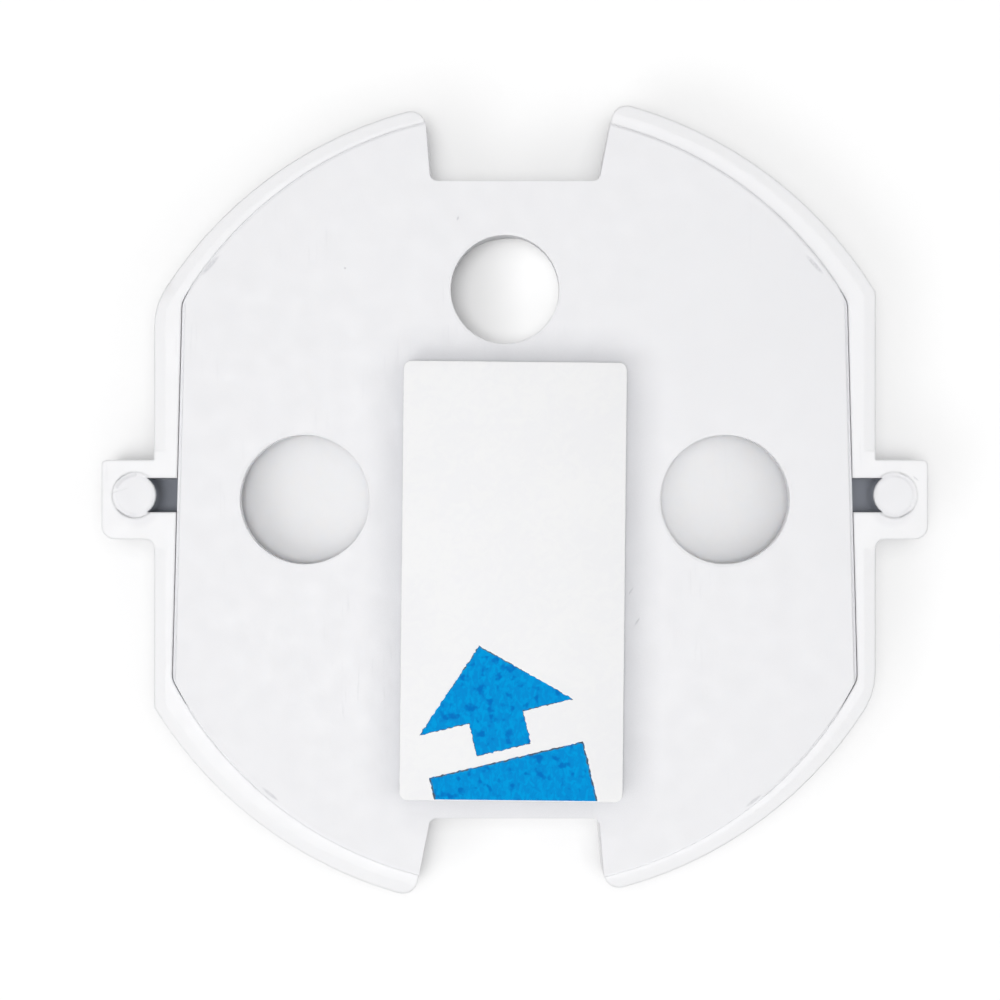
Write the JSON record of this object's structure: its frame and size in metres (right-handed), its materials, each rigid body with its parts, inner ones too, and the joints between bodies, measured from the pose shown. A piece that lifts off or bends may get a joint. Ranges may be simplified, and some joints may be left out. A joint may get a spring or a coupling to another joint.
{
  "type": "outlet safety cover",
  "caption": "Twist-to-open safety cover for a round two-pin socket with earth pin: notched disc with guide ears, turning dial and adhesive back.",
  "frame": {"origin": "middle of the front face, on the surface that the cover lies on", "axes": "+X through the two guide ears and the pin holes, +Y from the middle to the earth pin hole, +Z out of the adhesive back"},
  "size_m": [0.0374, 0.0356, 0.0061],
  "materials": {
    "housing_plastic": "satin white moulded plastic",
    "plate_plastic": "satin white moulded plastic",
    "dial_plastic": "satin white moulded plastic",
    "spring_steel": "drawn spring wire",
    "pad_foam": "white closed-cell foam tape",
    "liner_paper": "coated release paper with a blue print"
  },
  "bodies": {
    "housing": {"front_housing": "housing_plastic", "back_plate": "plate_plastic", "foam_pad": "pad_foam", "release_liner": "liner_paper", "return_spring": "spring_steel"},
    "dial": {"twist_dial": "dial_plastic"}
  },
  "joints": [
    {"name": "dial_turn", "type": "hinge", "parent": "housing", "child": "dial", "pos_m": [0, 0, 0.0017], "axis": [0, 0, 1], "range_deg": [0, 45], "stiffness_Nm_per_rad": 0.001, "springref_deg": -28.65, "deforming": ["return_spring"]}
  ]
}
